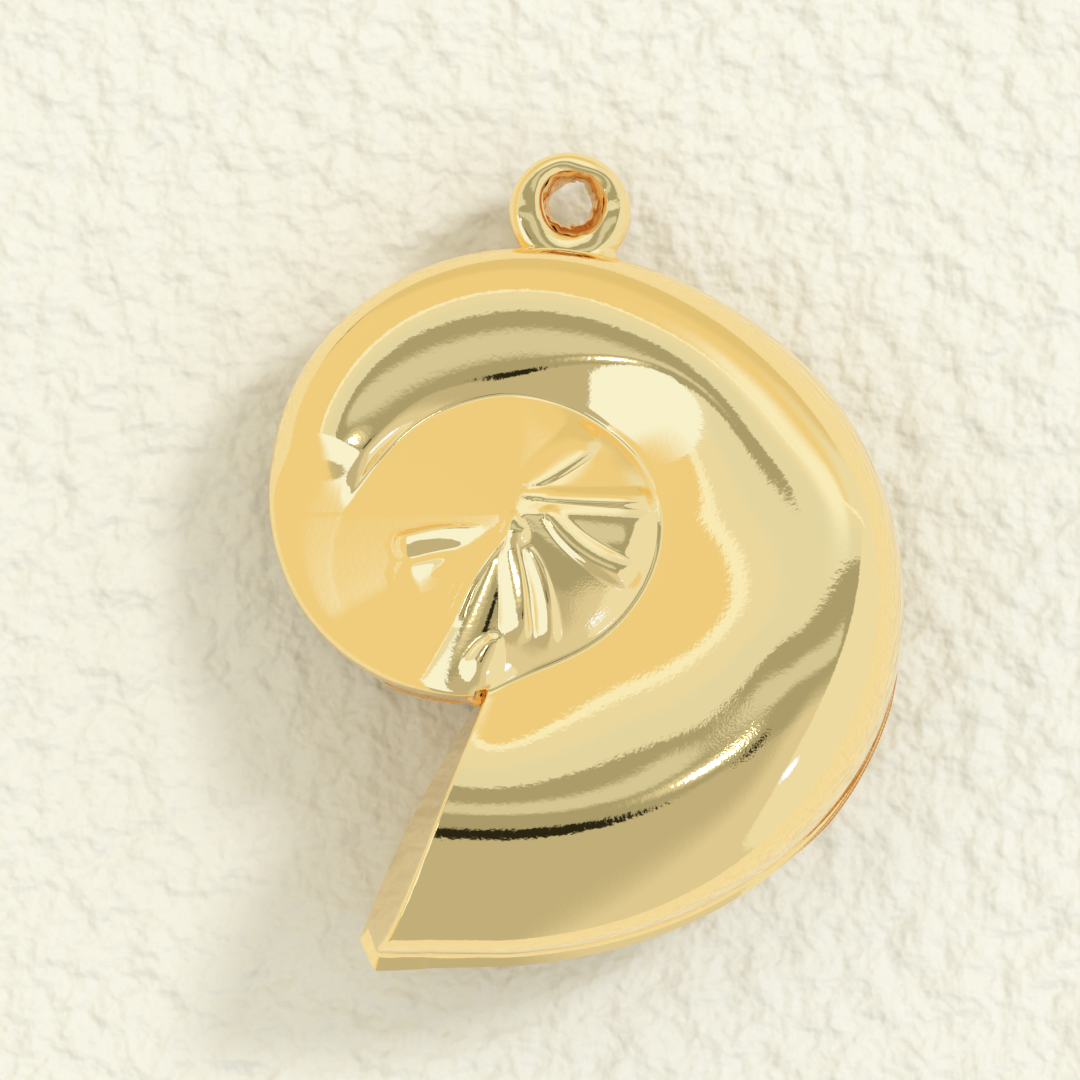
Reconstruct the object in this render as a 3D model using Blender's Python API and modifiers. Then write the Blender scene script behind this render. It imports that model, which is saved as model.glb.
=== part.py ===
"""Shell charm: two stamped brass half shells, brazed at a seam, with an eyelet on top.

The charm lies on its back shell, +Z up, its eyelet towards +Y. Its origin is the middle of
its footprint, on the surface that it lies on. Run it in Blender 4.5:
blender --background --python part.py
"""
import math

import bmesh
import bpy
from mathutils import Matrix, Vector

MM = 0.001

# The sheet and the seam, in millimetres.
SHEET = 0.35
SEAM_GAP = 0.06
SKIRT = 0.8                 # extra wall past the seam, trimmed off flat

# The whorl, seen from the apex of the spire. The turn runs clockwise, in degrees, from the
# inner corner of the mouth. Each row is one section across the whorl, in millimetres:
# turn, suture radius, outline radius, drop of the foot below the spire's edge,
# crest place (its share of the way from suture to outline), fullness of the outer flank,
# bend of the inner flank, crest height of the front shell, crest height of the back shell.
SECTIONS = (
    (0, 4.46, 4.52, 0.00, 0.00, 2.0, 1.5, 1.60, 1.60),
    (60, 4.75, 5.86, 0.00, 0.00, 2.0, 1.5, 1.60, 1.60),
    (90, 4.05, 6.27, -0.25, 0.06, 2.0, 1.5, 1.70, 1.65),
    (120, 3.36, 6.54, -0.55, 0.14, 2.0, 1.6, 1.95, 1.90),
    (150, 2.96, 6.64, -0.50, 0.16, 2.0, 1.6, 2.20, 2.15),
    (180, 2.87, 6.76, -0.22, 0.36, 2.0, 1.6, 2.30, 2.20),
    (210, 2.96, 7.28, 0.40, 0.56, 2.0, 1.4, 2.40, 2.20),
    (240, 3.31, 8.45, 0.95, 0.54, 2.0, 1.3, 2.60, 2.35),
    (270, 3.45, 9.65, 1.30, 0.70, 2.2, 1.4, 3.25, 2.75),
    (300, 3.48, 10.54, 1.40, 0.70, 2.6, 1.7, 3.40, 3.05),
    (330, 3.54, 10.68, 1.25, 0.60, 4.5, 2.0, 2.95, 2.88),
    (345, 3.74, 10.88, 1.05, 0.56, 5.0, 2.0, 2.82, 2.86),
    (351, 3.98, 11.14, 0.95, 0.55, 5.0, 2.0, 2.78, 2.84),
    (357, 4.25, 11.54, 0.90, 0.55, 5.0, 2.0, 2.75, 2.80),
    (360, 4.46, 10.93, 0.90, 0.55, 5.0, 2.0, 2.70, 2.75),
)
CREST_COLUMN = {"front": 6, "back": 7}
FULL_TURN = 360.0
CORNER_ANGLE = 257.3        # where the turn starts, in degrees from +X
WHORL_APPEARS = (55.0, 115.0)   # the turns over which the whorl swells out of the spire's flank
MOUTH_LEAN = 8.2            # how far the mouth's edge leans past a full turn, in degrees
MOUTH_WALL = 6.0            # turn that the sloping wall of the mouth takes, in degrees
MOUTH_TOP = 2.9

# The spire in the middle: a low cone that leans down to the lower right, with eight ribs.
SPIRE = {"front": (3.05, 0.28), "back": (2.05, 0.13)}   # height at the apex, slope
SPIRE_HEADING = -45.0
APEX_ROUNDING = 0.15
SUTURE_STEP = 0.06          # half the width of the step at the suture
RIB_ANGLES = (46, 4, -30, -83, -129, -167, -208, -252)
RIB_BEND = 14.0             # degrees that a rib curls at the apex and at its end
RIB_MIDDLE = 1.96
RIB_HEIGHT = 0.22
RIB_WIDTH = 0.25

# The eyelet at the top edge, and the hole through it.
EYELET_CENTRE = (1.22, 7.60)
EYELET_OUTER = 1.50
EYELET_THROAT = 0.60
EYELET_RISE = 0.65

# How the charm comes to rest on its back shell: it tips a little about a level line, in
# degrees, and then moves, so that it touches the surface and stands over the origin.
REST_TILT = 4.233
REST_HEADING = 215.67
REST_MOVE = (-1.6284, 0.9549, 2.4305)

# The mesh: spokes around the turn, and rings out from the apex.
EVEN_SPOKES = 56
MOUTH_TURNS = (351.0, 354.0, 357.0, 360.0)
SPIRE_RINGS = 6
WHORL_RINGS = 9
EYELET_SEGMENTS = 32
EYELET_SIDES = 14


def start_clean():
    """Remove every object of the scene."""
    for obj in list(bpy.data.objects):
        bpy.data.objects.remove(obj, do_unlink=True)


def new_collection(name):
    """A new collection in the scene."""
    made = bpy.data.collections.new(name)
    bpy.context.scene.collection.children.link(made)
    return made


def metal(name, colour, roughness):
    """A plain metal finish."""
    made = bpy.data.materials.new(name)
    made.use_nodes = True
    shader = made.node_tree.nodes["Principled BSDF"]
    shader.inputs["Base Color"].default_value = (*colour, 1.0)
    shader.inputs["Metallic"].default_value = 1.0
    shader.inputs["Roughness"].default_value = roughness
    return made


def ease(value):
    """A smooth step from 0 to 1."""
    value = min(max(value, 0.0), 1.0)
    return value * value * (3.0 - 2.0 * value)


def column_slopes(column):
    """The slope of one column of SECTIONS at each row, flat where the column turns back."""
    turns = [row[0] for row in SECTIONS]
    values = [row[column] for row in SECTIONS]
    spans = [b - a for a, b in zip(turns, turns[1:])]
    rates = [(b - a) / span for a, b, span in zip(values, values[1:], spans)]
    slopes = [rates[0]]
    for i in range(1, len(rates)):
        mixed = (rates[i - 1] * spans[i] + rates[i] * spans[i - 1]) / (spans[i - 1] + spans[i])
        slopes.append(0.0 if rates[i - 1] * rates[i] <= 0.0 else mixed)
    slopes.append(rates[-1])
    return slopes


SLOPES = [None] + [column_slopes(column) for column in range(1, len(SECTIONS[0]))]


def section(turn):
    """The whorl's section at any turn, on a smooth curve through the rows of SECTIONS."""
    row = 0
    while row < len(SECTIONS) - 2 and turn >= SECTIONS[row + 1][0]:
        row += 1
    low, high = SECTIONS[row], SECTIONS[row + 1]
    span = high[0] - low[0]
    x = (turn - low[0]) / span
    values = []
    for column in range(1, len(low)):
        values.append(
            (2 * x**3 - 3 * x**2 + 1) * low[column]
            + (x**3 - 2 * x**2 + x) * span * SLOPES[column][row]
            + (3 * x**2 - 2 * x**3) * high[column]
            + (x**3 - x**2) * span * SLOPES[column][row + 1]
        )
    return values


def rib_height(x, y):
    """The height that the ribs of the spire add at a point."""
    radius = math.hypot(x, y)
    bend = RIB_BEND * ((radius - RIB_MIDDLE) / RIB_MIDDLE) ** 2
    fade = ease((radius - 0.35) / 0.6) * ease((3.35 - radius) / 0.7)
    best = 0.0
    for angle in RIB_ANGLES:
        off = math.atan2(y, x) - math.radians(angle + bend)
        off = (off + math.pi) % math.tau - math.pi
        if abs(off) < math.pi / 2:
            across = radius * math.sin(off) / RIB_WIDTH
            best = max(best, 1.0 / (1.0 + across**2) - 0.09)
    return RIB_HEIGHT * best * fade


def spire_height(x, y, side):
    """The height of the leaning cone at a point."""
    top, slope = SPIRE[side]
    heading = math.radians(SPIRE_HEADING)
    along = x * math.cos(heading) + y * math.sin(heading)
    return top - slope * (math.hypot(x, y, APEX_ROUNDING) - along)


def whorl_height(turn, share, values, edge, crest):
    """The height across the whorl: share runs from 0 at the suture to 1 at the outline.

    edge is the height of the spire's edge beside it, and crest is the whorl's own top.
    """
    drop, crest_place, fullness, bend = values[2:6]
    foot = edge - drop
    if share < crest_place:
        rise = 1.0 - (1.0 - share / crest_place) ** bend
        grown = foot + (crest - foot) * rise
    else:
        out = (share - crest_place) / (1.0 - crest_place)
        grown = crest * max(1.0 - out**fullness, 0.0) ** (1.0 / fullness)
    young = edge * math.sqrt(1.0 - share)
    low, high = WHORL_APPEARS
    height = young + (grown - young) * ease((turn - low) / (high - low))
    wall_left = (FULL_TURN - turn) / MOUTH_WALL
    return min(height, MOUTH_TOP * wall_left) if wall_left < 1.0 else height


def skin_point(turn, ring, side):
    """A point of the outer skin: ring runs from 0 at the apex to 1 at the suture and 2 at the outline."""
    values = section(turn)
    suture, outline = values[0], values[1]
    if ring <= 1.0:
        angle = math.radians(CORNER_ANGLE - turn)
        radius = ring * (suture - SUTURE_STEP)
        x, y = radius * math.cos(angle), radius * math.sin(angle)
        return Vector((x, y, spire_height(x, y, side) + rib_height(x, y)))
    share = ring - 1.0
    lean = MOUTH_LEAN * ease((turn - 300.0) / 60.0) * (1.0 - (1.0 - share) ** 3)
    angle = math.radians(CORNER_ANGLE - turn - lean)
    radius = suture + SUTURE_STEP + share * (outline - suture - SUTURE_STEP)
    x, y = radius * math.cos(angle), radius * math.sin(angle)
    edge = spire_height(suture * math.cos(angle), suture * math.sin(angle), side)
    crest = values[CREST_COLUMN[side]]
    return Vector((x, y, whorl_height(turn, share, values, edge, crest)))


def grid_point(spoke, row, side):
    """Where a vertex of the flat grid goes: its last row and last spoke make the skirt."""
    last_spoke = EVEN_SPOKES + len(MOUTH_TURNS)
    last_row = SPIRE_RINGS + WHORL_RINGS + 1
    turns = [348.0 * i / EVEN_SPOKES for i in range(EVEN_SPOKES + 1)] + list(MOUTH_TURNS)
    turn = turns[min(spoke, last_spoke)]
    if row <= SPIRE_RINGS:
        return skin_point(turn, row / SPIRE_RINGS, side)
    out = min((row - SPIRE_RINGS - 1) / (WHORL_RINGS - 1), 1.0)
    if spoke == 0 and out < 1.0:
        return skin_point(turn, 1.0, side)
    crowded = 1.0 - (1.0 - out) ** 1.5
    point = skin_point(turn, 1.0 + max(crowded, 1e-6), side)
    if spoke > last_spoke or row == last_row:
        point.z = -SKIRT
    return point


def outer_skin(name, side):
    """One half shell's outer skin: a flat grid, wound into a spiral and raised to its relief."""
    spokes = EVEN_SPOKES + len(MOUTH_TURNS) + 1
    rows = SPIRE_RINGS + WHORL_RINGS + 1
    up = 1.0 if side == "front" else -1.0
    bm = bmesh.new()
    bmesh.ops.create_grid(bm, x_segments=spokes, y_segments=rows, size=1.0)
    bmesh.ops.delete(bm, geom=[f for f in bm.faces if inside_mouth_skirt(f, spokes, rows)],
                     context="FACES")
    for vert in bm.verts:
        spoke = round((vert.co.x + 1.0) / 2.0 * spokes)
        row = round((vert.co.y + 1.0) / 2.0 * rows)
        point = grid_point(spoke, row, side)
        vert.co = Vector((point.x, point.y, point.z * up)) * MM
    bmesh.ops.remove_doubles(bm, verts=bm.verts, dist=1e-7)
    bmesh.ops.recalc_face_normals(bm, faces=bm.faces)
    top = max(bm.faces, key=lambda face: face.calc_center_median().z * up)
    if top.normal.z * up < 0.0:
        bmesh.ops.reverse_faces(bm, faces=bm.faces)
    mesh = bpy.data.meshes.new(name)
    bm.to_mesh(mesh)
    bm.free()
    return mesh


def inside_mouth_skirt(face, spokes, rows):
    """Whether a face of the flat grid is in the last column, where the spire needs no skirt."""
    middle = face.calc_center_median()
    column = (middle.x + 1.0) / 2.0 * spokes
    row = (middle.y + 1.0) / 2.0 * rows
    return column > spokes - 1 and row < SPIRE_RINGS + 1


def add_object(name, mesh, home, parent, finish):
    """An object of a mesh, in its collection and under its parent."""
    obj = bpy.data.objects.new(name, mesh)
    home.objects.link(obj)
    obj.parent = parent
    if finish:
        mesh.materials.append(finish)
    return obj


def seam_cutter(side, home, parent):
    """A block that trims a half shell flat at the seam."""
    bm = bmesh.new()
    bmesh.ops.create_cube(bm, size=1.0)
    depth = 4.0
    up = 1.0 if side == "front" else -1.0
    middle = (SEAM_GAP / 2.0 - depth / 2.0) * up
    bmesh.ops.scale(bm, vec=(40.0 * MM, 40.0 * MM, depth * MM), verts=bm.verts)
    bmesh.ops.translate(bm, vec=(0.0, 0.0, middle * MM), verts=bm.verts)
    mesh = bpy.data.meshes.new(side + "_seam_cutter")
    bm.to_mesh(mesh)
    bm.free()
    return hide(add_object(side + "_seam_cutter", mesh, home, parent, None))


def eyelet_ring(side, home, parent):
    """The eyelet's rounded ring: a torus, made taller than it is wide in section."""
    width = (EYELET_OUTER - EYELET_THROAT) / 2.0
    bpy.ops.mesh.primitive_torus_add(
        major_radius=(EYELET_OUTER - width) * MM, minor_radius=width * MM,
        major_segments=EYELET_SEGMENTS, minor_segments=EYELET_SIDES)
    ring = bpy.context.object
    mesh = ring.data
    mesh.transform(Matrix.Diagonal((1.0, 1.0, EYELET_RISE / width, 1.0)))
    mesh.transform(Matrix.Translation(Vector((*EYELET_CENTRE, 0.0)) * MM))
    bpy.data.objects.remove(ring, do_unlink=True)
    return hide(add_object(side + "_eyelet_ring", mesh, home, parent, None))


def hide(obj):
    """Keep a cutter or a joined-in shape out of the part."""
    obj.hide_render = True
    obj.display_type = "WIRE"
    return obj


def half_shell(side, parts, tools, parent, finish):
    """A half shell: its skin given the sheet's thickness, joined to its half of the eyelet."""
    obj = add_object(side + "_shell", outer_skin(side + "_shell", side), parts, parent, finish)
    wall = obj.modifiers.new("sheet", "SOLIDIFY")
    wall.thickness = SHEET * MM
    wall.offset = -1.0
    for name, operation, other in (
        ("eyelet", "UNION", eyelet_ring(side, tools, parent)),
        ("seam", "DIFFERENCE", seam_cutter(side, tools, parent)),
    ):
        cut = obj.modifiers.new(name, "BOOLEAN")
        cut.operation = operation
        cut.object = other
        cut.solver = "EXACT"
    obj.data.shade_smooth()
    obj.data.set_sharp_from_angle(angle=math.radians(35.0))
    return obj


def build():
    """Both half shells, laid down as the charm rests."""
    start_clean()
    parts = new_collection("shell_charm")
    tools = new_collection("cutters")
    gold = metal("gold_plated_brass", (0.87, 0.62, 0.20), 0.12)
    rest = bpy.data.objects.new("rest", None)
    parts.objects.link(rest)
    for side in ("front", "back"):
        half_shell(side, parts, tools, rest, gold)
    heading = math.radians(REST_HEADING)
    level_line = Vector((math.cos(heading), math.sin(heading), 0.0))
    move = Matrix.Translation(Vector(REST_MOVE) * MM)
    rest.matrix_world = move @ Matrix.Rotation(math.radians(REST_TILT), 4, level_line)


build()
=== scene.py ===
# %% [markdown]
# # A gold-plated sea shell charm
#
# The charm is a hollow stamping: a front and a back half shell of thin brass sheet, brazed
# together along one flat seam and gold plated. It lies on its back on a pale plaster plate.
#
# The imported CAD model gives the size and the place. A fine surface could be sculpted by hand
# or carved with a displacement map. Here it is worked out from a few formulas instead, because
# polished gold shows every uneven patch, and a formula has none.

# %% Load the frame
import math

import bmesh
import bpy
import numpy as np
from mathutils import Matrix, Vector, noise


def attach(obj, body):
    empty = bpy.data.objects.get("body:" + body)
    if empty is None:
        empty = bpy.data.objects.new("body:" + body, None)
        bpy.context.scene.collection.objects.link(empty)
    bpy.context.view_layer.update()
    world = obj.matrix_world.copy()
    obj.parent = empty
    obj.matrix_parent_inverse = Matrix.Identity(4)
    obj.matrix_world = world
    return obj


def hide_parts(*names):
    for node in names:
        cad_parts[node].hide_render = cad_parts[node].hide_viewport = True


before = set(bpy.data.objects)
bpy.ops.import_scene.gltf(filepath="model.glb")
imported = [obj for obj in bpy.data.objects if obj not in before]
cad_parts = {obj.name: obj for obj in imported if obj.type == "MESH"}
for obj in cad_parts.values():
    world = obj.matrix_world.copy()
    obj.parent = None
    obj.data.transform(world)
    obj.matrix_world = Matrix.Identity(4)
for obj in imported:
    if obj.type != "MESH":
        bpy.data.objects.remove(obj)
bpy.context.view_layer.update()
MM = 0.001

# %% [markdown]
# ## How the charm lies
#
# The shape is worked out in the charm's own frame: the apex of the spire at the origin and the
# seam in the plane z = 0, all in millimetres. The charm then tips a little about a level line,
# because its back is thicker towards the mouth, and moves to where the CAD model lies.

# %% The rest placement
REST_TILT = math.radians(4.233)
REST_HEADING = math.radians(215.67)
REST_MOVE = Vector((-1.6284, 0.9549, 2.4305))
level_line = Vector((math.cos(REST_HEADING), math.sin(REST_HEADING), 0.0))
rest = (
    Matrix.Translation(REST_MOVE * MM)
    @ Matrix.Rotation(REST_TILT, 4, level_line)
    @ Matrix.Scale(MM, 4)
)
print("apex of the spire's base, in mm:", [round(v / MM, 2) for v in rest @ Vector()])

# %% [markdown]
# ## The whorl's sections
#
# A shell grows in a spiral, so its shape is easiest to give as a few sections, one after the
# other around the apex. Each row below is one section, and a smooth curve runs through each
# column. That keeps the reflections of a polished surface free of kinks, which a metal
# finish would show at once.

# %% Sections around the turn
# the columns of a section, with its lengths in millimetres
TURN = 0                # degrees clockwise from the mouth's inner corner
SUTURE = 1              # radius of the groove between the spire and the whorl
OUTLINE = 2             # radius of the outline
SPIRE_SLOPE = 3
SPIRE_RIM = 4           # extra fall at the spire's rim
CREST_RADIUS = 5
CREST_HEIGHT = 6
BACK_SHARE = 7          # the back's height over the front's
INNER_BEND = 8          # power of the inner flank's curve
OUTER_FALL = 9          # fall of the outer flank before its edge turns down
OUTER_FULLNESS = 10     # power of the outer flank's curve
FLANGE = 11             # width of the flange

SECTIONS = np.array((
    (0, 4.46, 4.52, 0.060, 0.05, 4.47, 1.700, 1.00, 1.5, 0.00, 2.0, 0.00),
    (15, 4.54, 4.84, 0.070, 0.03, 4.56, 1.700, 1.00, 1.5, 0.00, 2.0, 0.00),
    (22, 4.58, 5.03, 0.120, 0.00, 4.60, 1.700, 1.00, 1.5, 0.00, 2.0, 0.00),
    (30, 4.62, 5.20, 0.205, 0.00, 4.65, 1.700, 1.00, 1.5, 0.00, 2.0, 0.00),
    (45, 4.70, 5.54, 0.355, 0.00, 4.72, 1.700, 1.00, 1.5, 0.00, 2.0, 0.00),
    (60, 4.70, 5.86, 0.365, 0.00, 4.75, 1.700, 1.00, 1.5, 0.00, 2.0, 0.00),
    (75, 4.30, 6.08, 0.365, 0.00, 4.45, 1.750, 1.00, 1.5, 0.10, 2.2, 0.00),
    (90, 3.78, 6.27, 0.365, 0.00, 4.30, 1.860, 1.00, 1.5, 0.20, 2.6, 0.00),
    (105, 3.48, 6.45, 0.365, 0.00, 4.00, 1.965, 1.00, 2.0, 0.33, 3.6, 0.00),
    (120, 3.26, 6.54, 0.365, 0.00, 3.90, 1.975, 1.00, 2.0, 0.36, 4.4, 0.00),
    (135, 3.06, 6.60, 0.365, 0.00, 3.80, 1.985, 1.00, 2.0, 0.36, 4.8, 0.00),
    (150, 2.94, 6.64, 0.365, 0.00, 3.75, 1.985, 1.00, 2.0, 0.36, 4.8, 0.00),
    (165, 2.90, 6.69, 0.370, 0.00, 3.75, 1.985, 1.00, 2.0, 0.36, 4.8, 0.00),
    (180, 2.87, 6.76, 0.380, 0.06, 3.95, 2.010, 1.00, 1.9, 0.34, 4.4, 0.00),
    (195, 2.90, 6.95, 0.375, 0.18, 4.45, 2.070, 1.00, 1.7, 0.25, 3.4, 0.00),
    (210, 2.96, 7.28, 0.350, 0.26, 5.10, 2.190, 1.00, 1.4, 0.20, 2.9, 0.00),
    (225, 3.12, 7.80, 0.310, 0.28, 5.60, 2.380, 0.97, 1.4, 0.10, 2.4, 0.00),
    (240, 3.31, 8.45, 0.220, 0.35, 6.00, 2.600, 0.91, 1.5, 0.00, 2.5, 0.00),
    (255, 3.40, 9.05, 0.125, 0.38, 7.15, 2.920, 0.84, 1.5, 0.00, 3.2, 0.00),
    (270, 3.45, 9.65, 0.100, 0.34, 7.50, 3.250, 0.82, 1.5, 0.20, 3.2, 0.00),
    (285, 3.47, 10.15, 0.080, 0.34, 7.85, 3.590, 0.84, 1.5, 0.50, 3.4, 0.00),
    (300, 3.48, 10.54, 0.055, 0.35, 8.05, 3.580, 0.88, 1.6, 0.80, 3.7, 0.10),
    (315, 3.50, 10.64, 0.050, 0.35, 7.70, 3.360, 0.90, 1.6, 0.90, 5.5, 0.20),
    (330, 3.54, 10.68, 0.060, 0.34, 7.35, 3.260, 0.89, 1.6, 0.90, 8.0, 0.26),
    (345, 3.74, 10.88, 0.075, 0.31, 7.30, 3.240, 0.88, 1.6, 0.90, 8.0, 0.28),
    (351, 3.98, 11.14, 0.070, 0.26, 7.40, 3.240, 0.87, 1.6, 0.90, 8.0, 0.32),
    (357, 4.25, 11.54, 0.065, 0.13, 7.55, 3.240, 0.84, 1.6, 0.90, 8.0, 0.45),
    (360, 4.46, 10.93, 0.060, 0.05, 7.60, 3.240, 0.82, 1.6, 0.90, 8.0, 0.50),
))
STEP = 0.25             # degrees of turn between the faired sections
TURNS = np.arange(0.0, 360.0 + STEP / 2.0, STEP)
FAIRING = 6.0           # degrees of turn over which a column is faired
SPIRE_FAIRING = 3.5
TIP = (340.0, 351.0)    # turns over which the outline sharpens to its tip by the mouth


def ease(value):
    """A smooth step from 0 to 1."""
    value = np.clip(value, 0.0, 1.0)
    return value * value * (3.0 - 2.0 * value)


def fair(column):
    """A column at every step of turn, averaged over its neighbourhood.

    A column that comes back to its first value runs on past the full turn."""
    values = np.interp(TURNS, SECTIONS[:, TURN], SECTIONS[:, column])
    width = (SPIRE_FAIRING if column in (SPIRE_SLOPE, SPIRE_RIM) else FAIRING) / STEP
    reach = int(3.0 * width)
    if values[0] == values[-1]:
        before, after = values[-reach - 1:-1], values[1:reach + 1]
    else:
        before = 2.0 * values[0] - values[reach:0:-1]
        after = 2.0 * values[-1] - values[-2:-reach - 2:-1]
    weights = np.exp(-0.5 * (np.arange(-reach, reach + 1) / width) ** 2)
    return np.convolve(np.concatenate((before, values, after)), weights / weights.sum(), mode="valid")


FAIR = [fair(column) for column in range(SECTIONS.shape[1])]


def smooth_column(column, turn):
    """One column of SECTIONS at any turn. The outline keeps its pointed tip by the mouth."""
    smooth = np.interp(turn, TURNS, FAIR[column])
    if column == OUTLINE:
        pointed = np.interp(turn, SECTIONS[:, TURN], SECTIONS[:, OUTLINE])
        return smooth + (pointed - smooth) * ease((turn - TIP[0]) / (TIP[1] - TIP[0]))
    return smooth


print(len(SECTIONS), "sections, outline radius up to", SECTIONS[:, OUTLINE].max(), "mm")

# %% [markdown]
# ## The spire
#
# The spire in the middle is a low cone that leans down to the lower right. The stamping die
# pressed ribs into it that curl like the vanes of a fan, two bars on the left, two faint curls
# above, and a knob at the apex and by the mouth. One formula gives the cone's height, and
# another adds each rib as a rounded ridge along a curled line.

# %% Spire and ribs
APEX = 2.95            # height of the spire's apex over the seam
APEX_ROUNDING = 0.15
CORNER_ANGLE = 257.3   # direction of the mouth's inner corner from the apex
# start, middle and end in millimetres from the apex, height at the start and the end,
# width of the flank on the left and on the right, looking away from the start
RIBS = (
    ((0.40, 0.80), (1.00, 1.14), (1.60, 1.66), 0.04, 0.09, 0.70, 0.34),
    ((1.60, 1.62), (1.85, 1.95), (1.30, 2.16), 0.05, 0.01, 0.12, 0.25),
    ((0.20, 0.52), (1.50, 0.40), (3.05, 0.40), 0.03, 0.07, 0.30, 0.22),
    ((0.80, 0.02), (1.20, -0.85), (2.62, -1.52), 0.05, 0.11, 0.50, 0.26),
    ((0.02, -0.74), (0.22, -1.60), (0.26, -2.62), 0.05, 0.15, 0.10, 0.66),
    ((0.42, -0.90), (0.84, -1.60), (0.90, -2.82), 0.04, 0.11, 0.20, 0.44),
    ((-0.32, -0.72), (-1.00, -1.25), (-1.42, -2.45), 0.04, 0.05, 0.16, 0.16),
    ((-0.62, -0.95), (-1.35, -1.40), (-1.62, -2.30), 0.03, 0.05, 0.14, 0.20),
    ((-1.00, -0.32), (-1.80, -0.22), (-2.66, -0.48), 0.02, 0.36, 0.66, 0.14),
    ((-1.40, -1.02), (-1.95, -1.12), (-2.52, -1.24), 0.04, 0.22, 0.75, 0.36),
    ((-0.50, -3.10), (-0.62, -3.35), (-0.76, -3.66), 0.09, 0.09, 0.50, 0.50),
    ((-1.60, 1.30), (-2.40, 1.50), (-3.10, 1.20), 0.005, 0.008, 0.20, 0.20),
    ((-0.20, 1.50), (-0.45, 2.45), (-1.40, 2.40), 0.005, 0.008, 0.20, 0.20),
    ((-0.05, -0.10), (-0.03, -0.27), (0.00, -0.42), 0.10, 0.14, 0.40, 0.40),
)
RIB_STEPS = 12
RIB_TAPER = 0.5        # width at the start over the full width
RIM_SHARPNESS = 6      # power of the rim's fall


def plain_spire(radius, turn):
    """The cone of the spire: its slope changes around the apex and its rim falls away."""
    slope, rim = smooth_column(SPIRE_SLOPE, turn), smooth_column(SPIRE_RIM, turn)
    over = radius / smooth_column(SUTURE, turn)
    return APEX - slope * (np.hypot(radius, APEX_ROUNDING) - APEX_ROUNDING) - rim * over**RIM_SHARPNESS


def rib_line(start, middle, end):
    """Points along a curl that leaves the start toward the middle point and ends at the end."""
    t = np.linspace(0.0, 1.0, RIB_STEPS + 1)[:, None]
    start, middle, end = np.array(start), np.array(middle), np.array(end)
    return start * (1 - t) ** 2 + 2 * middle * t * (1 - t) + end * t**2


def spire_height(radius, turn):
    """The height of the spire with its ribs, each rounded across and at both ends."""
    angle = np.radians(CORNER_ANGLE - turn)
    x, y = radius * np.cos(angle), radius * np.sin(angle)
    ribs = np.zeros_like(x)
    for start, middle, end, low, high, left, right in RIBS:
        line = rib_line(start, middle, end)
        near, height, width = np.full_like(x, np.inf), np.zeros_like(x), np.ones_like(x)
        for k in range(RIB_STEPS):
            (ax, ay), (bx, by) = line[k], line[k + 1]
            length = math.hypot(bx - ax, by - ay)
            along = np.clip(((x - ax) * (bx - ax) + (y - ay) * (by - ay)) / length**2, 0.0, 1.0)
            off_x, off_y = x - ax - along * (bx - ax), y - ay - along * (by - ay)
            away = np.hypot(off_x, off_y) + 1e-9
            side = ((bx - ax) * off_y - (by - ay) * off_x) / (length * away)
            share = (k + along) / RIB_STEPS
            taper = RIB_TAPER + (1.0 - RIB_TAPER) * share**0.5
            flank = taper * (left + right + side * (left - right)) / 2.0
            height = np.where(away < near, low + (high - low) * share, height)
            width = np.where(away < near, flank, width)
            near = np.minimum(near, away)
        ribs = np.maximum(ribs, height * np.clip(1.0 - (near / width) ** 2, 0.0, 1.0))
    return plain_spire(radius, turn) + ribs


print(len(RIBS), "ribs, bars, curls and knobs on a spire", APEX, "mm high")

# %% [markdown]
# ## The whorl
#
# Across the whorl, an inner flank climbs out of the groove beside the spire to the crest, and
# a fuller outer flank falls from there to the seam.

# %% Height across the whorl
WHORL_APPEARS = (80.0, 101.0)   # turns between which the grown whorl takes over
YOUNG_SLOPE = 0.35      # fall of the edge before the whorl appears
YOUNG_FULLNESS = 7      # power of that edge's curve
MOUTH_WALL = 6.0        # degrees of turn over which the mouth's wall falls
MOUTH_TOP = 3.5         # height from which it falls
MOUTH_ROUNDING = 0.12   # width of the rounded edge above the wall
FOOT_DROP = 0.05        # the whorl's foot lies this far under the spire's rim
FLANGE_SLOPE = 0.85     # height of the flange over the distance from the outline
FLANGE_TOP = 0.80       # height of the flange's inner side over its width


def smooth_min(a, b, radius):
    """The lower of two heights, with a rounded edge where they cross."""
    near = np.maximum(radius - np.abs(a - b), 0.0) / radius
    return np.minimum(a, b) - near * near * radius / 4.0


def whorl_height(turn, share):
    """Height of the whorl at shares 0 (suture) to 1 (outline) of sections at the given turns."""
    suture, outline = smooth_column(SUTURE, turn), smooth_column(OUTLINE, turn)
    place, crest = smooth_column(CREST_RADIUS, turn), smooth_column(CREST_HEIGHT, turn)
    bend, fall = smooth_column(INNER_BEND, turn), smooth_column(OUTER_FALL, turn)
    fullness, flange = smooth_column(OUTER_FULLNESS, turn), smooth_column(FLANGE, turn)
    edge = plain_spire(suture, turn)
    foot = edge - FOOT_DROP
    radius = suture + share * (outline - suture)
    inner = np.clip((place - radius) / (place - suture), 0.0, 1.0)
    out = np.clip((radius - place) / (outline - flange - place), 0.0, 1.0)
    flank_in = foot + (crest - foot) * (1.0 - inner**bend)
    flank_out = (crest - fall * out**2) * (1.0 - out**fullness) ** (1.0 / fullness)
    grown = np.where(radius < place, flank_in, flank_out)
    grown = np.maximum(grown, np.minimum(FLANGE_SLOPE * (outline - radius), FLANGE_TOP * flange))
    rounding = (1.0 - share**YOUNG_FULLNESS) ** (1.0 / YOUNG_FULLNESS)
    young = (edge - YOUNG_SLOPE * (radius - suture)) * rounding
    low, high = WHORL_APPEARS
    height = young + (grown - young) * ease((turn - low) / (high - low))
    wall = MOUTH_TOP * (360.0 - turn) / MOUTH_WALL
    return smooth_min(height, wall, MOUTH_ROUNDING)


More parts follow.
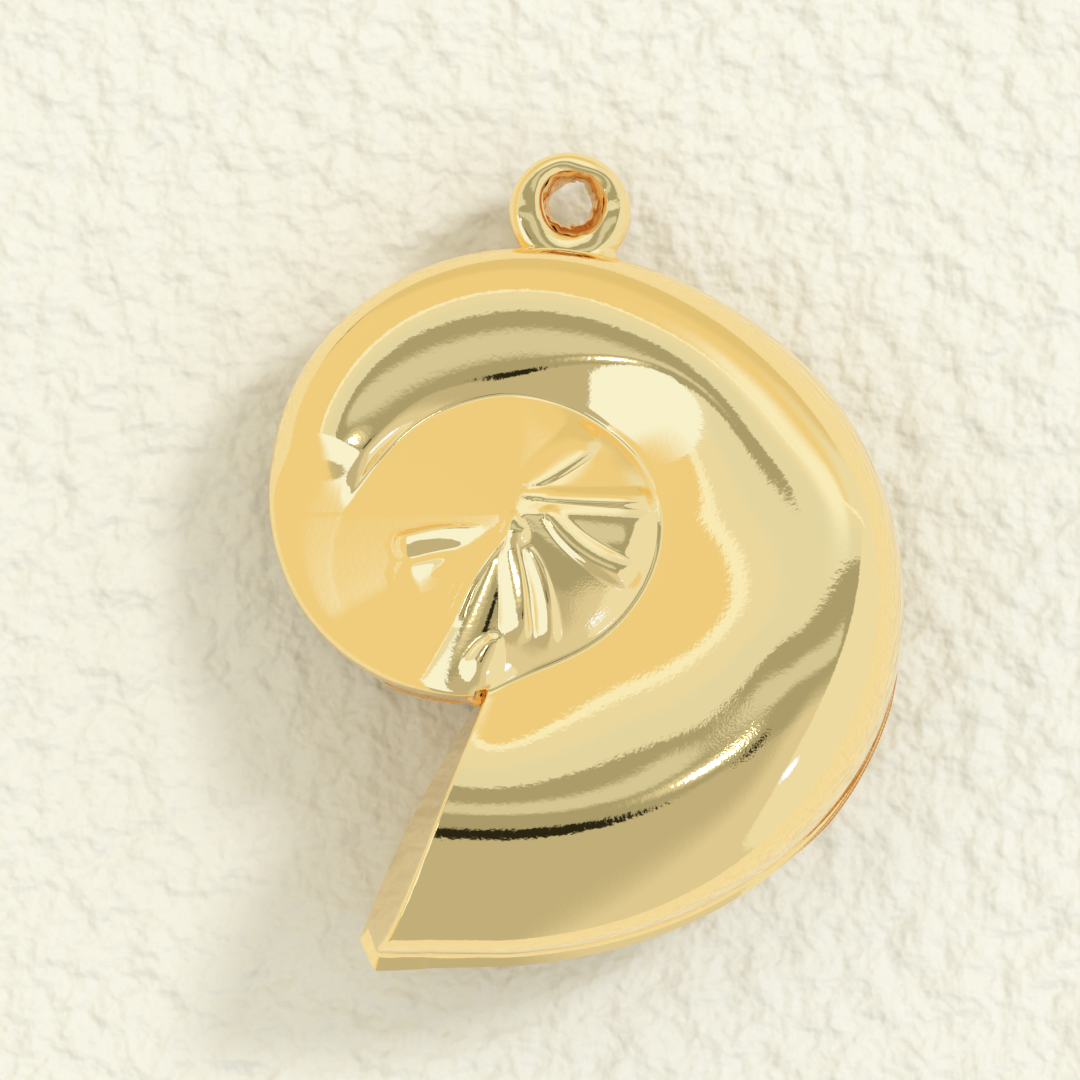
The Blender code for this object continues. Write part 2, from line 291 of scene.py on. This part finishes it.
print("crest", round(float(whorl_height(270.0, np.array([0.65]))[0]), 2), "mm high at turn 270")

# %% [markdown]
# ## The skins of the half shells
#
# A stamped sheet keeps one even skin from the apex to the rim. Each skin is a grid wound
# around the apex: one spoke for each turn, and rows spaced evenly along the bent surface, so
# steep flanks get as many rows as flat ones. The back is a flatter copy of the front.

# %% The half shells' outer skins
SPOKES = np.concatenate((np.linspace(0.0, 348.0, 300), np.linspace(348.6, 360.0, 40)))
SPIRE_ROWS = 44
SPIRE_SPACING = 0.9     # power below 1: the rows open out around the apex
WHORL_ROWS = 72
MEASURING_STEPS = 1200  # across the whorl, to measure along its bent surface
SHOULDER = 0.10         # half the width of the shoulder at the suture
BACK_SPIRE = 0.69       # share of the back's height at the apex
BACK_BLEND = 1.4        # sutures from the apex at which the sections' share takes over
MOUTH_LEAN = 8.2        # degrees that the spokes lean over at the mouth's edge
LEAN_STARTS = 300.0


def lean(turn):
    """How far a spoke leans over at the outline."""
    return MOUTH_LEAN * ease((turn - LEAN_STARTS) / (360.0 - LEAN_STARTS))


def skin_rows(side):
    """Points of the skin: for each spoke, rows from the apex over the suture to the outline."""
    turn = SPOKES[:, None]
    suture, outline = smooth_column(SUTURE, turn), smooth_column(OUTLINE, turn)
    share = 1.0 - (1.0 - np.linspace(0.0, 1.0, MEASURING_STEPS)[None, :]) ** 3
    radius = suture + share * (outline - suture)
    spire = spire_height(radius, turn)
    step = ease((radius - suture) / (2.0 * SHOULDER))
    height = spire + (whorl_height(turn, share) - spire) * step
    height[:, -1] = 0.0
    length = np.hypot(np.diff(radius, axis=1), np.diff(height, axis=1))
    length = np.concatenate((np.zeros_like(turn), np.cumsum(length, axis=1)), axis=1)
    wanted = length[:, -1:] * np.linspace(0.0, 1.0, WHORL_ROWS + 1)[None, :]
    even = np.array([np.interp(w, along, share[0]) for w, along in zip(wanted, length)])
    level = np.array([np.interp(w, along, z) for w, along, z in zip(wanted, length, height)])
    inside = suture * (np.arange(SPIRE_ROWS)[None, :] / SPIRE_ROWS) ** SPIRE_SPACING
    radius = np.concatenate((inside, suture + even * (outline - suture)), axis=1)
    height = np.concatenate((spire_height(inside, turn), level), axis=1)
    outward = np.concatenate((np.zeros_like(inside), even), axis=1)
    angle = np.radians(CORNER_ANGLE - turn - lean(turn) * (1.0 - (1.0 - outward) ** 3))
    if side == "back":
        change = smooth_column(BACK_SHARE, turn) - BACK_SPIRE
        height = height * (BACK_SPIRE + change * ease(radius / (BACK_BLEND * suture)))
    return np.stack((radius * np.cos(angle), radius * np.sin(angle), height), axis=2)


print("each skin has", len(SPOKES), "spokes of", SPIRE_ROWS + WHORL_ROWS + 1, "points")

# %% [markdown]
# ## Winding a grid into a shell
#
# A plain grid takes the worked-out points. Its first and last spokes and the row at the apex
# are merged, and the faces turn outward. The finished skin then moves to its resting place.

# %% Half shells and pieces
def half_shell(side):
    """One half shell: a flat grid wound into a spiral and raised to the relief."""
    points = skin_rows(side)
    spokes, rows = points.shape[0] - 1, points.shape[1] - 1
    bm = bmesh.new()
    bmesh.ops.create_grid(bm, x_segments=spokes, y_segments=rows, size=1.0)
    up = 1.0 if side == "front" else -1.0
    for vert in bm.verts:
        i = round((vert.co.x + 1.0) / 2.0 * spokes)
        j = round((vert.co.y + 1.0) / 2.0 * rows)
        x, y, z = points[i, j]
        vert.co = (x, y, z * up)
    bmesh.ops.remove_doubles(bm, verts=bm.verts, dist=1e-4)
    bmesh.ops.recalc_face_normals(bm, faces=bm.faces)
    top = max(bm.faces, key=lambda face: face.calc_center_median().z * up)
    if top.normal.z * up < 0.0:
        bmesh.ops.reverse_faces(bm, faces=bm.faces)
    bm.transform(rest)
    return bm


def add_piece(name, bm, material):
    """A finished piece: its place is in its mesh, and it rides on the charm's one body."""
    mesh = bpy.data.meshes.new(name)
    bm.to_mesh(mesh)
    bm.free()
    mesh.shade_smooth()
    piece = bpy.data.objects.new(name, mesh)
    bpy.context.scene.collection.objects.link(piece)
    mesh.materials.append(material)
    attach(piece, "root")
    return piece


# %% [markdown]
# ## Materials
#
# Every finish here is made of shader nodes: a picture on the surface would be too coarse for a
# mirror seen this close. Two helpers keep that short: one turns a colour's hex value to linear
# light, and one adds a node with its settings and its links.

# %% Material helpers
def linear(hex_colour):
    """The linear colour of an sRGB hex value."""
    channels = [int(hex_colour[i:i + 2], 16) / 255.0 for i in (0, 2, 4)]
    return [c / 12.92 if c <= 0.04045 else ((c + 0.055) / 1.055) ** 2.4 for c in channels]


def add_node(tree, kind, settings, links):
    """A node of a kind, with its settings and its inputs' links or values."""
    node = tree.nodes.new(kind)
    for name, value in settings.items():
        setattr(node, name, value)
    for name, value in links.items():
        if isinstance(value, bpy.types.NodeSocket):
            tree.links.new(value, node.inputs[name])
        else:
            node.inputs[name].default_value = value
    return node


def new_material(name):
    """An empty material and its Principled BSDF."""
    material = bpy.data.materials.new(name)
    material.use_nodes = True
    return material, material.node_tree, material.node_tree.nodes["Principled BSDF"]


# %% [markdown]
# ## Gold plate
#
# Gold plate is a metal whose colour is all in its reflection, so it needs a metallic surface,
# a pale gold colour and very little roughness. Real plating is never quite flat: a fine ripple
# stands for the polish, two patches have coarser grains, and one speck lost its gold. The real
# marks are finer than a hair, so both noises are drawn as coarse as they need to be to show.

# %% Gold plate
GOLD = linear("FFE6AC")
BARE_SPECK = linear("C39A5C")
POLISH = 0.025          # roughness
RIPPLES_PER_MM = 8.0
GRAINS_PER_MM = 18.0
RIPPLE_HEIGHT = 0.0012  # in millimetres
# patches of coarser plating: place in the charm's frame, radius, and the grain's height over
# the ripple's
COARSE_PATCHES = (((1.95, -2.15, 2.6), 1.05, 3.2), ((5.55, -5.30, 3.4), 1.20, 1.6))
PIT = ((6.25, 3.77, 1.4), 0.16, 1.0)    # a brown speck where the plating failed


def spot(tree, place, radius, strength):
    """A soft mask: its strength at a place on the charm, 0 beyond the radius."""
    coords = add_node(tree, "ShaderNodeTexCoord", {}, {})
    away = add_node(tree, "ShaderNodeVectorMath", {"operation": "DISTANCE"},
                    {0: coords.outputs["Object"], 1: rest @ Vector(place)})
    mask = add_node(tree, "ShaderNodeMapRange", {"interpolation_type": "SMOOTHSTEP"},
                    {"Value": away.outputs["Value"], "From Min": radius * MM / 2.0,
                     "From Max": radius * MM, "To Min": strength, "To Max": 0.0})
    return mask.outputs[0]


gold, tree, shader = new_material("polished_gold_plate_on_brass")
shader.inputs["Metallic"].default_value = 1.0
speck = add_node(tree, "ShaderNodeMix", {"data_type": "RGBA"}, {})
tree.links.new(spot(tree, *PIT), speck.inputs[0])
speck.inputs[6].default_value = (*GOLD, 1.0)
speck.inputs[7].default_value = (*BARE_SPECK, 1.0)
tree.links.new(speck.outputs[2], shader.inputs["Base Color"])
shader.inputs["Roughness"].default_value = POLISH
coords = add_node(tree, "ShaderNodeTexCoord", {}, {})
ripple = add_node(tree, "ShaderNodeTexNoise", {},
                  {"Vector": coords.outputs["Object"], "Scale": RIPPLES_PER_MM / MM, "Detail": 2.0})
grain = add_node(tree, "ShaderNodeTexNoise", {},
                 {"Vector": coords.outputs["Object"], "Scale": GRAINS_PER_MM / MM, "Detail": 1.0})
coarse = add_node(tree, "ShaderNodeMath", {"operation": "MAXIMUM"},
                  {0: spot(tree, *COARSE_PATCHES[0]), 1: spot(tree, *COARSE_PATCHES[1])})
relief = add_node(tree, "ShaderNodeMath", {"operation": "MULTIPLY_ADD"},
                  {0: grain.outputs["Fac"], 1: coarse.outputs[0], 2: ripple.outputs["Fac"]})
bump = add_node(tree, "ShaderNodeBump", {},
                {"Height": relief.outputs[0], "Distance": RIPPLE_HEIGHT * MM, "Strength": 1.0})
tree.links.new(bump.outputs["Normal"], shader.inputs["Normal"])
print(gold.name, "has", len(tree.nodes), "nodes")

# %% [markdown]
# ## The two halves
#
# Each half takes the gold and stands in for its plain CAD half. The two are separate pieces, as
# the stamped halves are.

# %% Build the half shells
for side in ("front", "back"):
    piece = add_piece(side + "_half_shell", half_shell(side), gold)
    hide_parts(side + "_shell")
    print(piece.name, "has", len(piece.data.polygons), "faces")

# %% [markdown]
# ## The eyelet
#
# The real eyelet is pressed with the two halves, and its hole is punched through both sheets.
# The punch tore the inner edge, where bare copper-coloured metal shows. A torus would be too
# regular, so the ring's section spans from the hole's edge to the outer edge, which are not
# concentric, and a slow noise dents its face.

# %% Eyelet ring and neck
EYELET = Vector((1.22, 7.60, 0.0))
EYELET_OUTER = 1.49     # radius
EYELET_HIGH = 0.60      # half its thickness
EYELET_LEAN = Vector((0.20, 0.06))  # fall of its face to the right and away from the shell
HOLE = Vector((1.27, 7.80, 0.0))    # the hole was pierced a little off centre
HOLE_RADIUS = 0.69
HOLE_WAVE = 0.05        # the hole is slightly three-cornered
DENT = 0.04             # height of the slow dents in its face
DENTS_PER_MM = 1.4
FLATNESS = 0.72         # below 1 the ring's section turns from an ellipse to a box
INNER_FLATNESS = 0.45   # the punched edge is sharper
NECK_PLACE = (1.16, 6.25)   # middle of its lower end
NECK_LONG = 0.60
NECK_WIDE = 1.16        # half its width at the ring
NECK_HIGH = 0.55        # half its thickness there
NECK_FLARE = (0.26, 0.18)   # growth of both towards the body
RING_GRID = (96, 40)    # faces around the hole and around the section
NECK_GRID = (24, 64)    # faces along the neck and around it


def rounded(value):
    """A sine or cosine with its round made fuller."""
    return math.copysign(abs(value) ** FLATNESS, value)


def closed_grid(columns, rows, place):
    """A grid whose points are placed by their two shares and whose edges are merged."""
    bm = bmesh.new()
    bmesh.ops.create_grid(bm, x_segments=columns, y_segments=rows, size=1.0)
    for vert in bm.verts:
        vert.co = place((vert.co.x + 1.0) / 2.0, (vert.co.y + 1.0) / 2.0)
    bmesh.ops.remove_doubles(bm, verts=bm.verts, dist=1e-4)
    bmesh.ops.recalc_face_normals(bm, faces=bm.faces)
    return bm


def ring_point(turned, around):
    """A point of the ring: its section spans from the hole's edge to the outer edge."""
    angle, roll = math.tau * turned, math.tau * around
    out = Vector((math.cos(angle), math.sin(angle), 0.0))
    hole_edge = HOLE + out * HOLE_RADIUS * (1.0 + HOLE_WAVE * math.sin(3 * angle + 1.0))
    outer_edge = EYELET + out * EYELET_OUTER
    middle, half = (hole_edge + outer_edge) / 2.0, (outer_edge - hole_edge) / 2.0
    if math.cos(roll) < 0.0:
        across = -abs(math.cos(roll)) ** INNER_FLATNESS
    else:
        across = rounded(math.cos(roll))
    point = middle + half * across + Vector((0, 0, EYELET_HIGH * rounded(math.sin(roll))))
    dent = DENT * noise.noise(Vector((DENTS_PER_MM * point.x, DENTS_PER_MM * point.y, 3.0)))
    point.z += dent * math.sin(roll) - EYELET_LEAN.dot((point - EYELET).xy)
    return point


def neck_point(along, around):
    """A point of the neck, which widens from the ring down to the body."""
    roll = math.tau * around
    wide = NECK_WIDE + NECK_FLARE[0] * (1.0 - along) ** 2
    high = NECK_HIGH + NECK_FLARE[1] * (1.0 - along) ** 2
    across, up = wide * rounded(math.cos(roll)), high * rounded(math.sin(roll))
    return Vector((NECK_PLACE[0] + across, NECK_PLACE[1] + NECK_LONG * along, up))


ring_skin = closed_grid(*RING_GRID, ring_point)
ring_skin.transform(rest)
ring = add_piece("eyelet_ring", ring_skin, gold)
neck_skin = closed_grid(*NECK_GRID, neck_point)
bmesh.ops.holes_fill(neck_skin, edges=[edge for edge in neck_skin.edges if edge.is_boundary])
neck_skin.transform(rest)
collar = add_piece("eyelet_neck", neck_skin, gold)
print("eyelet", round(2 * EYELET_OUTER, 2), "mm across, hole", round(2 * HOLE_RADIUS, 2), "mm")

# %% [markdown]
# ## The torn edge in the hole
#
# The bare copper-coloured metal is a little rougher than the plate. The tear is a flared wall
# that two sizes of noise push in and out. Small triangles placed by hand would look more torn
# but would not close. This piece stays one closed skin, whose outer side lies in the ring.

# %% Torn edge
copper, tree, shader = new_material("bare_copper_braze")
shader.inputs["Metallic"].default_value = 1.0
shader.inputs["Base Color"].default_value = (*linear("F3C488"), 1.0)
shader.inputs["Roughness"].default_value = 0.16

THROAT_LIP = 0.57       # height of the torn wall's edge over the seam
THROAT_RADIUS = 0.56
THROAT_WALL = 0.22      # thickness of the torn wall at the seam
TEAR = 0.12             # how far the noise pushes it
TORN_GRID = (160, 64)   # faces around the hole and around the wall's section


def throat_point(turned, around):
    """A point of the torn wall: down its flared inner side, then up inside the ring's metal."""
    angle, level = math.tau * turned, math.cos(math.tau * around)
    out = Vector((math.cos(angle), math.sin(angle), 0.0))
    large = noise.noise(1.5 * out + Vector((0, 0, 1.5 * level)))
    torn = large + 0.5 * noise.noise(4.0 * out + Vector((5, 0, 4.0 * level)))
    flare = abs(level) ** 3 if around < 0.5 else 1.0
    radius = THROAT_RADIUS + THROAT_WALL * flare + TEAR * torn
    return HOLE + out * radius + Vector((0, 0, THROAT_LIP * level + 0.8 * TEAR * torn))


torn = closed_grid(*TORN_GRID, throat_point)
torn.transform(rest)
inner = add_piece("torn_throat", torn, copper)
print("torn edge has", len(inner.data.polygons), "faces")

# %% [markdown]
# ## The braze
#
# The two halves are brazed at the rim. Where the braze swelled out of the joint and the polish
# missed it, two thin beaded lines run along the outline, and a small fillet fills the sharp
# corner at the mouth. Each line is a grid wound into a tube, with its thickness changing.

# %% Braze helpers
TUBE_SIDES = 14


def tube(line, size):
    """A grid wound into a closed tube around a line of (point, out, size share)."""
    bm = bmesh.new()
    bmesh.ops.create_grid(bm, x_segments=len(line) - 1, y_segments=TUBE_SIDES, size=1.0)
    for vert in bm.verts:
        point, out, share = line[round((vert.co.x + 1.0) / 2.0 * (len(line) - 1))]
        angle = (vert.co.y + 1.0) * math.pi
        vert.co = point + size * share * (math.cos(angle) * out + math.sin(angle) * Vector((0, 0, 1)))
    bmesh.ops.remove_doubles(bm, verts=bm.verts, dist=1e-5)
    bmesh.ops.holes_fill(bm, edges=[edge for edge in bm.edges if edge.is_boundary])
    return bm


def joined(parts):
    """Several bmesh pieces as one."""
    whole = bmesh.new()
    for part in parts:
        mesh = bpy.data.meshes.new("part")
        part.to_mesh(mesh)
        part.free()
        whole.from_mesh(mesh)
        bpy.data.meshes.remove(mesh)
    return whole


# %% Braze seam
SEAM_RUNS = ((0.5, 32.0), (276.0, 310.0))       # turns between which the braze shows
SEAM_LINES = ((0.10, 0.02), (-0.02, 0.07))      # height of each line, and how far it stands out
SEAM_STEPS = 180
SEAM_THICK = 0.022      # radius of a line
SEAM_SUNK = 0.03        # how far the lines start inside the outline
FILLET_OUT = 4.41       # from the apex to the fillet in the mouth's inner corner
FILLET_UP = 1.85
FILLET_WIDE = 0.30
FILLET_TALL = 0.50


def seam():
    """The braze where it swells out of the joint: two thin lines with small beads."""
    lines = []
    for first, last in SEAM_RUNS:
        for height, out_by in SEAM_LINES:
            line = []
            for k in range(SEAM_STEPS + 1):
                turn = first + (last - first) * k / SEAM_STEPS
                angle = math.radians(CORNER_ANGLE - turn - float(lean(turn)))
                out = Vector((math.cos(angle), math.sin(angle), 0.0))
                fade = min(1.0, 4.0 * k / SEAM_STEPS, 4.0 * (SEAM_STEPS - k) / SEAM_STEPS)
                radius = float(smooth_column(OUTLINE, turn)) + out_by * fade - SEAM_SUNK
                bead = 1.0 + 0.35 * math.sin(2.3 * k) * math.sin(0.31 * k)
                line.append((out * radius + Vector((0, 0, height)), out, bead * fade + 0.02))
            lines.append(tube(line, SEAM_THICK))
    return lines


def corner_fillet():
    """The braze that fills the sharp corner where the outline meets the mouth."""
    bm = bmesh.new()
    bmesh.ops.create_icosphere(bm, subdivisions=4, radius=FILLET_TALL)
    angle = math.radians(CORNER_ANGLE)
    place = Matrix.Translation((FILLET_OUT * math.cos(angle), FILLET_OUT * math.sin(angle), FILLET_UP))
    slim = FILLET_WIDE / FILLET_TALL
    bm.transform(place @ Matrix.Diagonal((slim, slim, 1.0, 1.0)))
    return bm


braze = joined(seam() + [corner_fillet()])
braze.transform(rest)
bmesh.ops.recalc_face_normals(braze, faces=braze.faces)
piece = add_piece("braze_seam", braze, copper)
print(piece.name, "has", len(piece.data.polygons), "faces")

# %% [markdown]
# ## The floor
#
# The charm lies on a rough white plaster plate. Modelled lumps would cost many triangles, so a
# noise bump gives them, about one to a millimetre.

# %% Floor
LUMPS_PER_MM = 1.0
LUMP_HEIGHT = 0.42
plaster, tree, shader = new_material("rough_white_plaster")
shader.inputs["Base Color"].default_value = (*linear("ECE9DE"), 1.0)
shader.inputs["Roughness"].default_value = 0.9
coords = add_node(tree, "ShaderNodeTexCoord", {}, {})
lumps = add_node(tree, "ShaderNodeTexNoise", {},
                 {"Vector": coords.outputs["Object"], "Scale": LUMPS_PER_MM / MM, "Detail": 2.5,
                  "Roughness": 0.5})
bump = add_node(tree, "ShaderNodeBump", {},
                {"Height": lumps.outputs["Fac"], "Distance": LUMP_HEIGHT * MM, "Strength": 1.0})
tree.links.new(bump.outputs["Normal"], shader.inputs["Normal"])
bm = bmesh.new()
bmesh.ops.create_grid(bm, x_segments=1, y_segments=1, size=1.0)
mesh = bpy.data.meshes.new("plaster_floor")
bm.to_mesh(mesh)
bm.free()
floor = bpy.data.objects.new("plaster_floor", mesh)
bpy.context.scene.collection.objects.link(floor)
mesh.materials.append(plaster)
print(floor.name, "has", len(mesh.polygons), "face")

# %% [markdown]
# ## The surroundings
#
# A polished charm is seen only by what it reflects. Seen from straight above, each spot of the
# metal reflects the part of the sky that its own tilt picks: a level surface reflects the
# middle. So the sky is measured in degrees of tilt, positive to the east and to the north. The
# angle between the sky's direction and the zenith is twice the tilt that reflects it.

# %% Sky and tilt
scene = bpy.context.scene
scene.view_settings.view_transform = "Standard"
world = bpy.data.worlds.new("studio")
scene.world = world
world.use_nodes = True
tree = world.node_tree
background = tree.nodes["Background"]


def seen_as(hex_colour):
    """The light that gold shows as this colour."""
    return [c / g for c, g in zip(linear(hex_colour), GOLD)]


coords = add_node(tree, "ShaderNodeTexCoord", {}, {})
direction = add_node(tree, "ShaderNodeSeparateXYZ", {}, {"Vector": coords.outputs["Generated"]})
polar = add_node(tree, "ShaderNodeMath", {"operation": "ARCCOSINE"}, {0: direction.outputs["Z"]})
half = add_node(tree, "ShaderNodeMath", {"operation": "MULTIPLY"},
                {0: polar.outputs[0], 1: 90.0 / math.pi})
level = add_node(tree, "ShaderNodeVectorMath", {"operation": "MULTIPLY"},
                 {0: coords.outputs["Generated"], 1: (1.0, 1.0, 0.0)})
heading = add_node(tree, "ShaderNodeVectorMath", {"operation": "NORMALIZE"}, {0: level.outputs[0]})
tilt = add_node(tree, "ShaderNodeVectorMath", {"operation": "SCALE"},
                {0: heading.outputs[0], "Scale": half.outputs[0]})

# %% [markdown]
# ## The boards
#
# The studio is a warm tent around the camera, with an opening above it and a few pale boards.
# Modelled boards would shade the floor, so they are drawn on the sky as rounded rectangles with
# soft edges, one over the other. Each colour is given as the gold shows it.

# %% Boards
BEYOND = "B4935A"       # what lies outside every board
# name, west, east, south and north edge in degrees of tilt, corner radius, softness,
# colour seen in gold
BOARDS = (
    ("tent", -43.4, 43.4, -43.4, 43.4, 43.4, 0.8, "EFCC7B"),
    ("south of the tent", -60, 60, -90, -25, 0, 10, "EFCC7B"),
    ("east wall", 24, 70, -60, 40, 0, 10, "ECD9A0"),
    ("far north", -30, 40, 34, 60, 12, 5, "E3C274"),
    ("bright rim", -19.7, 40, -36, 18.3, 15, 0.5, "F9EAB4"),
    ("pale rim", -18.8, 40, -36, 17.4, 15, 0.6, "EBD79C"),
    ("inner rim", -15, 40, -36, 14, 10, 2.0, "E4D59F"),
    ("north-east glow", 5, 12, 17, 20, 2, 7, "F9EBB8"),
    ("south-west glow", -17, -9, -14, 0, 3, 5, "F6E8BA"),
    ("opening", -11.5, 30, -36, 11.5, 6, 0.5, "AB9C69"),
    ("sky above the frame", -9.0, 14, 5.4, 7.4, 1, 1.6, "D6C792"),
    ("lower sky", -20, 30, -60, -2.8, 1, 1.5, "C2AE78"),
    ("lit side of the sky", 7, 60, -60, -4.0, 2, 7, "DEC88E"),
    ("east softbox", 12, 72, -42, 18, 30, 0.6, "EDDAA1"),
    ("south-west softbox", -32, -6.2, -18, 3, 10, 0.6, "F8F1CA"),
    ("west side of the tent", -90, -24, -60, 25, 0, 6, "F0CD7C"),
    ("window", 12.0, 15.5, -16.5, -13.2, 1.6, 0.7, "FFFFFF"),
    ("camera", -3.4, -1.9, -2.5, -0.4, 0.6, 0.4, "2A2410"),
)
colour = add_node(tree, "ShaderNodeRGB", {}, {})
colour.outputs[0].default_value = (*seen_as(BEYOND), 1.0)
light = colour.outputs[0]
for name, west, east, south, north, corner, soft, hex_colour in BOARDS:
    middle = ((west + east) / 2.0, (south + north) / 2.0, 0.0)
    size = ((east - west) / 2.0 - corner, (north - south) / 2.0 - corner, 0.0)
    moved = add_node(tree, "ShaderNodeVectorMath", {"operation": "SUBTRACT", "label": name},
                     {0: tilt.outputs[0], 1: middle})
    mirrored = add_node(tree, "ShaderNodeVectorMath", {"operation": "ABSOLUTE"}, {0: moved.outputs[0]})
    past = add_node(tree, "ShaderNodeVectorMath", {"operation": "SUBTRACT"},
                    {0: mirrored.outputs[0], 1: size})
    outside = add_node(tree, "ShaderNodeVectorMath", {"operation": "MAXIMUM"},
                       {0: past.outputs[0], 1: (0, 0, 0)})
    away = add_node(tree, "ShaderNodeVectorMath", {"operation": "LENGTH"}, {0: outside.outputs[0]})
    share = add_node(tree, "ShaderNodeMapRange", {"interpolation_type": "SMOOTHSTEP"},
                     {"Value": away.outputs["Value"], "From Min": corner, "From Max": corner + soft,
                      "To Min": 1.0, "To Max": 0.0})
    mix = add_node(tree, "ShaderNodeMix", {"data_type": "RGBA"}, {})
    tree.links.new(share.outputs[0], mix.inputs[0])
    tree.links.new(light, mix.inputs[6])
    mix.inputs[7].default_value = (*seen_as(hex_colour), 1.0)
    light = mix.outputs[2]
print(len(BOARDS), "boards on the sky")

# %% [markdown]
# ## The lamp
#
# One small bright lamp stands in the opening. A real lamp in the scene would need many samples
# to show in such a polished surface, so it is two round glows on the sky: a hard core and the
# wide halo that lights up the coarse patches.

# %% Lamp
LAMP_TILT = (-6.9, 1.6, 0.0)
# inner and outer radius in degrees of tilt, and brightness
LAMP_GLOWS = ((0.65, 1.05, 5.0), (0.65, 2.9, 0.45))
lamp = add_node(tree, "ShaderNodeVectorMath", {"operation": "DISTANCE", "label": "lamp"},
                {0: tilt.outputs[0], 1: LAMP_TILT})
for inner_radius, outer_radius, brightness in LAMP_GLOWS:
    glow = add_node(tree, "ShaderNodeMapRange", {"interpolation_type": "SMOOTHSTEP"},
                    {"Value": lamp.outputs["Value"], "From Min": inner_radius, "From Max": outer_radius,
                     "To Min": brightness, "To Max": 0.0})
    lit = add_node(tree, "ShaderNodeVectorMath", {"operation": "ADD"}, {0: light, 1: glow.outputs[0]})
    light = lit.outputs[0]
tree.links.new(light, background.inputs["Color"])
background.inputs["Strength"].default_value = 1.0
print("lamp at tilt", LAMP_TILT[:2], "degrees")

# %% [markdown]
# ## Light on the plaster
#
# One soft light comes from the right, behind the charm, and a wide fill comes from above. Both
# light the plaster only: in the gold they would add highlights that the boards already give.

# %% Key light
def add_sun(name, azimuth, elevation, angle, energy, hex_colour):
    """A distant lamp that lights the plaster and leaves the reflections to the boards."""
    sun = bpy.data.lights.new(name, "SUN")
    sun.energy = energy
    sun.angle = math.radians(angle)
    sun.color = linear(hex_colour)
    lamp = bpy.data.objects.new(name, sun)
    azimuth, elevation = math.radians(azimuth), math.radians(elevation)
    level = math.cos(elevation)
    towards = Vector((math.cos(azimuth) * level, math.sin(azimuth) * level, math.sin(elevation)))
    lamp.rotation_euler = towards.to_track_quat("Z", "Y").to_euler()
    lamp.visible_glossy = False
    scene.collection.objects.link(lamp)


add_sun("key_light", azimuth=33, elevation=42, angle=12, energy=1.2, hex_colour="EAF0FF")
add_sun("fill_light", azimuth=33, elevation=85, angle=90, energy=0.42, hex_colour="FFF6EC")
print(len(bpy.data.lights), "lights on the plaster")

# %% [markdown]
# ## The camera
#
# It looks straight down from far away, which keeps the rim's sides out of sight and the
# outline true.

# %% Camera
FRAME_WIDTH = 26.46
AIM = (0.49, -0.44)     # middle of the frame, from the apex
DISTANCE = 200.0
camera = bpy.data.cameras.new("camera")
camera.sensor_width = 36.0
camera.lens = camera.sensor_width * DISTANCE / FRAME_WIDTH
camera.clip_start = 0.001
view = bpy.data.objects.new("camera", camera)
view.location = Vector((AIM[0] + REST_MOVE.x, AIM[1] + REST_MOVE.y, DISTANCE + REST_MOVE.z)) * MM
scene.collection.objects.link(view)
scene.camera = view
print("frame width", FRAME_WIDTH, "mm, lens", round(camera.lens, 1), "mm")
